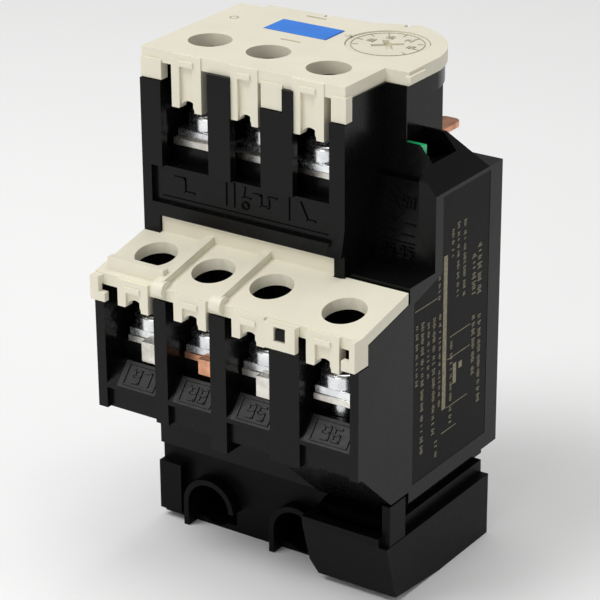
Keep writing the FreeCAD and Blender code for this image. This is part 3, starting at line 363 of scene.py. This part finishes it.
class Sheet:
    """A flat drawing surface: strokes are given as (u, v) millimetres on it and come out raised."""

    def __init__(self, origin, across, up, height):
        self.origin = origin
        self.across = across.normalized()
        self.up = up.normalized()
        self.out = self.across.cross(self.up)
        self.height = height
        self.bm = bmesh.new()

    def at(self, u, v):
        return self.origin + self.across * (u / 1000.0) + self.up * (v / 1000.0)

    def stroke(self, start, end, width):
        """A raised bar from one (u, v) to another."""
        a, b = self.at(*start), self.at(*end)
        along = b - a
        length = max(along.length, 0.00001)
        along.normalize()
        basis = Matrix((along, self.out.cross(along), self.out)).transposed()
        size = (length + width / 1000.0, width / 1000.0, self.height)
        plate(self.bm, (a + b) / 2 + self.out * (self.height / 2), size, basis)

    def path(self, points, width):
        for start, end in zip(points, points[1:]):
            self.stroke(start, end, width)

    def ring(self, centre, radius, width, steps=20):
        points = [(centre[0] + radius * math.cos(2 * math.pi * step / steps),
                   centre[1] + radius * math.sin(2 * math.pi * step / steps))
                  for step in range(steps + 1)]
        self.path(points, width)

    def digit(self, figure, corner, size, width):
        """A seven-segment style figure with its lower left corner at (u, v)."""
        w, h = size
        spots = {"tl": (0, h), "tr": (w, h), "ml": (0, h / 2), "mr": (w, h / 2),
                 "bl": (0, 0), "br": (w, 0)}
        bars = {"1": "tr-br", "2": "tl-tr tr-mr mr-ml ml-bl bl-br", "3": "tl-tr tr-br ml-mr bl-br",
                "4": "tl-ml ml-mr tr-br", "5": "tr-tl tl-ml ml-mr mr-br br-bl",
                "6": "tr-tl tl-bl bl-br br-mr mr-ml", "7": "tl-tr tr-br",
                "8": "tl-tr tr-br br-bl bl-tl ml-mr", "9": "bl-br br-tr tr-tl tl-ml ml-mr",
                "0": "tl-tr tr-br br-bl bl-tl"}[figure]
        for bar in bars.split():
            a, b = (spots[key] for key in bar.split("-"))
            self.stroke((corner[0] + a[0], corner[1] + a[1]),
                        (corner[0] + b[0], corner[1] + b[1]), width)

    def number(self, figures, corner, size, width):
        for index, figure in enumerate(figures):
            place = (corner[0] + index * size[0] * FIGURE_PITCH, corner[1])
            self.digit(figure, place, size, width)


# ---- pieces ----------------------------------------------------------------------------------
class RELAY_OT_housings(bpy.types.Operator):
    """Black housings and foot with rounded moulded edges"""
    bl_idname = "relay.housings"
    bl_label = "Housings and foot"

    def execute(self, context):
        edge = sizes().edge
        rounded("main_case", "black", edge, "base")
        rounded("rear_case", "black", edge, "base")
        rounded("mounting_foot", "foot", edge * 1.2, "base")
        return {"FINISHED"}


class RELAY_OT_covers(bpy.types.Operator):
    """Ivory covers over the load and control terminals"""
    bl_idname = "relay.covers"
    bl_label = "Ivory covers"

    def execute(self, context):
        edge = sizes().cover_edge
        rounded("top_cover", "ivory", edge, "base", segments=3)
        rounded("terminal_cover", "ivory", edge, "base", segments=3)
        return {"FINISHED"}


class RELAY_OT_metalwork(bpy.types.Operator):
    """Screws, washers, terminals and leads"""
    bl_idname = "relay.metalwork"
    bl_label = "Metalwork"

    def execute(self, context):
        edge = sizes().metal_edge
        for node in ("load_screws", "control_screws", "case_screws"):
            rounded(node, "zinc", edge, "base", angle=SCREW_CORNER)
        for node in ("load_washers", "control_washers"):
            rounded(node, "zinc", edge * 1.8, "base",
                    angle=SCREW_CORNER)
        for number in (1, 2, 3):
            rounded(f"load_terminal_{number}", "tinned", edge, "base")
            rounded(f"line_lead_{number}", "copper", edge * 1.6, "base")
        for number in (1, 2, 3, 4):
            material = "copper" if number == 2 else "tinned"
            rounded(f"control_terminal_{number}", material, edge, "base")
        return {"FINISHED"}


class RELAY_OT_mechanism(bpy.types.Operator):
    """Finishes of the sealed inner mechanism, on the CAD shapes themselves"""
    bl_idname = "relay.mechanism"
    bl_label = "Inner mechanism"

    def execute(self, context):
        finishes = {
            "natural": ("trip_slider", "differential_slider", "differential_lever", "trip_lever",
                        "contact_carrier"),
            "steel": ("compensating_strip", "compensating_pin", "adjusting_lever", "adjusting_pin",
                      "trip_lever_pin", "reset_spring", "bimetal_1", "bimetal_2", "bimetal_3"),
            "alloy": ("heater_1", "heater_2", "heater_3"),
            "copper": ("no_bridge", "nc_bridge"),
            "silver": ("fixed_contacts",),
        }
        for key, nodes in finishes.items():
            for node in nodes:
                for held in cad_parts[node].material_slots:
                    held.material = look(key)
        return {"FINISHED"}


class RELAY_OT_controls(bpy.types.Operator):
    """Reset bar, trip flag and setting dial with its raised scale"""
    bl_idname = "relay.controls"
    bl_label = "Dial, reset bar and flag"

    def execute(self, context):
        edge = sizes().metal_edge
        rounded("reset_bar", "blue", edge, "reset_bar")
        rounded("trip_flag", "green", edge, "trip_flag")
        rounded("current_dial", "dial", edge, "current_dial", angle=DIAL_CORNER)
        scale = Sheet(mm(DIAL[0], DIAL[1], DIAL_TOP_Z - 0.02), Vector((1, 0, 0)),
                      Vector((0, 1, 0)), 0.00010)
        scale.ring((0, 0), DIAL_RING, 0.12, steps=48)
        inner, outer = TICK
        for index in range(9):
            angle = math.radians(-30 + index * 30)
            scale.stroke((inner * math.cos(angle), inner * math.sin(angle)),
                         (outer * math.cos(angle), outer * math.sin(angle)), 0.16)
        for index, figures in enumerate(("12", "14", "16", "18")):
            angle = math.radians(8 + index * 55)
            corner = (FIGURE_RING * math.cos(angle) - 0.75, FIGURE_RING * math.sin(angle) - 0.5)
            scale.number(figures, corner, (0.55, 1.0), 0.14)
        piece("dial_scale", scale.bm, "mark", "current_dial")
        return {"FINISHED"}


class RELAY_OT_relief(bpy.types.Operator):
    """Raised figures on the terminal shelves, raised symbols on the panels, marks on the cover"""
    bl_idname = "relay.relief"
    bl_label = "Raised figures and symbols"

    def execute(self, context):
        self.shelf_plates()
        self.front_symbols()
        self.side_symbols()
        self.cover_marks()
        return {"FINISHED"}

    def shelf_plates(self):
        """Framed number plates on the sloping shelves below the control terminals, with a painted
        sheen.
        """
        back, up = SHELF_SLOPE
        rise = Vector((0, back, up))
        length = rise.length
        tilt = Matrix.Rotation(math.atan2(up, back), 3, "X")
        for index, ((low, high), figures) in enumerate(zip(SHELVES, ("97", "98", "95", "96")), 1):
            sheet = Sheet(mm(low, 0.0, SHELF_FOOT_Z), Vector((1, 0, 0)), rise, sizes().emboss)
            width = high - low
            left, right, bottom, top = 0.9, width - 0.5, 0.5, length - 0.4
            sheet.path([(left, bottom), (right, bottom), (right, top), (left, top),
                        (left, bottom)], 0.16)
            sheet.number(figures, (width * 0.34, length * 0.26), (1.0, length * 0.46), 0.3)
            piece(f"shelf_figures_{index}", sheet.bm, "shelf", "base")
            # a thin face over the whole shelf, carrying the painted sheen
            cover = bmesh.new()
            middle = mm((low + high) / 2, back / 2, SHELF_FOOT_Z + up / 2)
            plate(cover, middle, (width / 1000.0, length / 1000.0, SHELF_FACE), tilt)
            piece(f"shelf_face_{index}", cover, "shelf", "base")

    def front_symbols(self):
        """Heater and contact symbols on the panel below the load terminals."""
        sheet = Sheet(mm(0, PANEL_Y, 0), Vector((1, 0, 0)), Vector((0, 0, 1)), sizes().emboss)
        for x in (14.2, 15.6, 25.0):
            sheet.stroke((x, 54.2), (x, 57.6), 0.28)
        sheet.path([(5.2, 56.6), (7.0, 56.6), (7.0, 54.6), (8.6, 54.6)], 0.22)
        sheet.path([(17.5, 57.4), (17.2, 55.9), (18.4, 55.9)], 0.24)
        sheet.ring((17.6, 54.7), 0.55, 0.2, steps=12)
        sheet.path([(19.0, 56.8), (20.3, 56.8), (20.3, 55.2), (21.6, 55.2), (21.6, 56.8),
                    (22.9, 56.8)], 0.22)
        sheet.path([(27.0, 57.2), (28.2, 54.8), (29.4, 54.8)], 0.24)
        sheet.stroke((3.0, 53.3), (31.5, 53.3), 0.14)
        piece("front_symbols", sheet.bm, "black", "base")

    def side_symbols(self):
        """Changeover contact symbol and figures on the sloping panel beside the load terminals."""
        foot, head = (mm(*corner) for corner in SIDE_PANEL)
        sheet = Sheet(foot, Vector((1, 0, 0)), head - foot, sizes().emboss)
        sheet.stroke((1.6, 10.0), (3.4, 7.6), 0.2)
        sheet.number("98", (3.9, 7.9), (0.7, 1.4), 0.18)
        sheet.path([(1.4, 6.0), (3.2, 5.8), (4.2, 7.0)], 0.2)
        sheet.stroke((4.6, 5.6), (6.3, 5.6), 0.2)
        sheet.path([(1.6, 4.4), (3.2, 4.3), (4.4, 5.2)], 0.2)
        sheet.stroke((4.4, 4.0), (6.3, 4.0), 0.2)
        sheet.stroke((1.0, 2.9), (6.6, 2.9), 0.16)
        sheet.number("96", (1.4, 1.0), (0.7, 1.3), 0.18)
        sheet.number("95", (4.4, 1.0), (0.7, 1.3), 0.18)
        piece("side_symbols", sheet.bm, "black", "base")

    def cover_marks(self):
        """A pointer on the cover beside the dial and a small moulding mark."""
        sheet = Sheet(mm(0, 0, TOP_Z - 0.1), Vector((1, 0, 0)), Vector((0, 1, 0)), 0.000108)
        sheet.path([(22.2, 32.9), (22.9, 32.3), (22.2, 31.7)], 0.18)
        sheet.stroke((21.6, 32.3), (22.8, 32.3), 0.18)
        sheet.ring((3.4, 30.7), 0.6, 0.14, steps=16)
        piece("cover_marks", sheet.bm, "mark", "base")


class RELAY_OT_label(bpy.types.Operator):
    """Rating plate on the right flank with lines of print shown as short bars"""
    bl_idname = "relay.label"
    bl_label = "Rating plate"

    def execute(self, context):
        film = rounded("rating_label", "label", FILM_EDGE, "base")
        lowered = bmesh.new()
        lowered.from_mesh(film.data)
        far = [vert for vert in lowered.verts if vert.co.x > mm(FLANK - 0.1, 0, 0).x]
        bmesh.ops.translate(lowered, vec=Vector((-FILM_SINK, 0, 0)), verts=far)
        lowered.to_mesh(film.data)
        lowered.free()
        sheet = Sheet(mm(FLANK - 0.045, 0, 0), Vector((0, 1, 0)), Vector((0, 0, 1)), INK)
        # a row of print: distance back, top, bottom, height of its letters, mean word length
        rows = ((15.0, 41.8, 32.0, 0.55, 1.0), (16.5, 41.8, 21.2, 0.75, 1.3),
                (18.1, 41.2, 32.4, 0.5, 0.9), (19.6, 41.4, 22.6, 0.75, 1.4),
                (21.2, 41.4, 26.6, 0.5, 0.8), (20.9, 49.4, 43.6, 0.5, 1.1),
                (24.4, 36.0, 22.2, 0.6, 1.2), (24.4, 53.2, 48.2, 0.6, 1.2),
                (25.9, 53.8, 42.0, 0.6, 1.1), (27.7, 53.6, 41.4, 0.7, 1.4),
                (30.4, 47.4, 40.8, 1.1, 1.1), (32.0, 48.6, 40.0, 1.2, 1.2),
                (30.5, 37.8, 27.6, 0.9, 1.5), (32.2, 37.4, 23.0, 0.9, 1.6),
                (20.5, 21.8, 18.6, 0.6, 1.0))
        for number, (y, top, bottom, width, word) in enumerate(rows):
            z = top
            step = 0
            while z > bottom + 0.4:
                wave = 0.5 + 0.5 * math.sin(12.9 * number + 7.3 * step)
                length = min(word * (0.45 + 0.9 * wave), z - bottom)
                self.word(sheet, y, z, length, width, number + step)
                z -= length + WORD_GAP
                step += 1
        sheet.stroke((22.5, 49.4), (22.5, 26.6), 1.0)
        sheet.stroke((25.4, 31.9), (25.4, 29.6), 0.9)
        sheet.stroke((27.0, 31.6), (27.0, 31.5), 0.9)
        rules = (((14.5, 44.2), (20.4, 44.2)), ((24.0, 36.9), (29.6, 36.9)),
                 ((23.4, 33.6), (29.6, 33.6)), ((23.4, 26.0), (29.0, 26.0)),
                 ((22.0, 22.4), (26.0, 22.4)))
        for start, end in rules:
            sheet.stroke(start, end, 0.12)
        piece("rating_print", sheet.bm, "gold", "base")
        return {"FINISHED"}

    def word(self, sheet, y, z, length, width, seed):
        """One word as a row of small upright strokes of uneven length."""
        for index in range(max(1, int(length / WORD_PITCH))):
            reach = width * (0.32 + 0.14 * math.sin(3.7 * index + seed))
            centre = z - index * WORD_PITCH
            sheet.stroke((y - reach, centre), (y + reach, centre), 0.17)
            if (index + seed) % 3:
                sheet.stroke((y - reach, centre), (y - reach, centre - 0.16), 0.13)


# ---- stage -----------------------------------------------------------------------------------
class RELAY_OT_stage(bpy.types.Operator):
    """Pale floor, soft boxes and the camera"""
    bl_idname = "relay.stage"
    bl_label = "Floor, light and camera"

    def execute(self, context):
        self.floor()
        self.world()
        self.lights()
        self.camera()
        return {"FINISHED"}

    def floor(self):
        bm = bmesh.new()
        bmesh.ops.create_grid(bm, x_segments=1, y_segments=1, size=3.0)
        mesh = bpy.data.meshes.new("floor")
        bm.to_mesh(mesh)
        bm.free()
        g = Graph("pale_floor")
        soft = g.noise(4.0, 2.0)
        g.set(Base_Color=g.mix(soft, (0.93, 0.93, 0.93), (0.96, 0.96, 0.96)), Roughness=0.85,
              Specular_IOR_Level=0.1)
        mesh.materials.append(g.material)
        floor = bpy.data.objects.new("floor", mesh)
        bpy.context.scene.collection.objects.link(floor)

    def world(self):
        world = bpy.data.worlds.new("studio")
        world.use_nodes = True
        background = world.node_tree.nodes["Background"]
        background.inputs["Color"].default_value = (1.0, 0.995, 0.985, 1.0)
        background.inputs["Strength"].default_value = 0.30
        bpy.context.scene.world = world

    def lights(self):
        aim = Vector((0, 0, 0.04))
        for name, spot, size, power in LIGHTS:
            data = bpy.data.lights.new(name, "AREA")
            data.shape = "SQUARE"
            data.size = size
            data.energy = power
            lamp = bpy.data.objects.new(name, data)
            lamp.location = spot
            lamp.rotation_euler = (aim - Vector(spot)).to_track_quat("-Z", "Y").to_euler()
            bpy.context.scene.collection.objects.link(lamp)

    def camera(self):
        azimuth, elevation, roll = (math.radians(angle) for angle in VIEW_ANGLES)
        back = Vector((math.sin(azimuth) * math.cos(elevation),
                       -math.cos(azimuth) * math.cos(elevation), math.sin(elevation)))
        right = Vector((math.cos(azimuth), math.sin(azimuth), 0.0))
        up = back.cross(right)
        turned_right = right * math.cos(roll) + up * math.sin(roll)
        turned_up = up * math.cos(roll) - right * math.sin(roll)
        data = bpy.data.cameras.new("camera")
        data.sensor_width = SENSOR
        data.lens = sizes().lens
        data.clip_start = 0.01
        camera = bpy.data.objects.new("camera", data)
        basis = Matrix((turned_right, turned_up, back)).transposed().to_4x4()
        camera.matrix_world = Matrix.Translation(VIEW_POINT) @ basis
        bpy.context.scene.collection.objects.link(camera)
        bpy.context.scene.camera = camera
        bpy.context.scene.view_settings.view_transform = "Standard"


OPERATORS = (RELAY_OT_housings, RELAY_OT_covers, RELAY_OT_metalwork, RELAY_OT_mechanism,
             RELAY_OT_controls, RELAY_OT_relief, RELAY_OT_label, RELAY_OT_stage)


class RELAY_PT_sidebar(bpy.types.Panel):
    """Sizes, colours and the building steps"""
    bl_idname = "RELAY_PT_sidebar"
    bl_label = "Overload Relay"
    bl_space_type = "VIEW_3D"
    bl_region_type = "UI"
    bl_category = "Relay"

    def draw(self, context):
        for group in (context.scene.relay_sizes, context.scene.relay_colours):
            for key in group.__annotations__:
                self.layout.prop(group, key)
        for step in OPERATORS:
            self.layout.operator(step.bl_idname)


CLASSES = (RelaySizes, RelayColours, *OPERATORS, RELAY_PT_sidebar)


def register():
    for made in CLASSES:
        bpy.utils.register_class(made)
    bpy.types.Scene.relay_sizes = bpy.props.PointerProperty(type=RelaySizes)
    bpy.types.Scene.relay_colours = bpy.props.PointerProperty(type=RelayColours)


def unregister():
    del bpy.types.Scene.relay_colours
    del bpy.types.Scene.relay_sizes
    for made in reversed(CLASSES):
        bpy.utils.unregister_class(made)


def main():
    register()
    for step in OPERATORS:
        family, name = step.bl_idname.split(".")
        getattr(getattr(bpy.ops, family), name)()


if __name__ == "__main__":
    main()
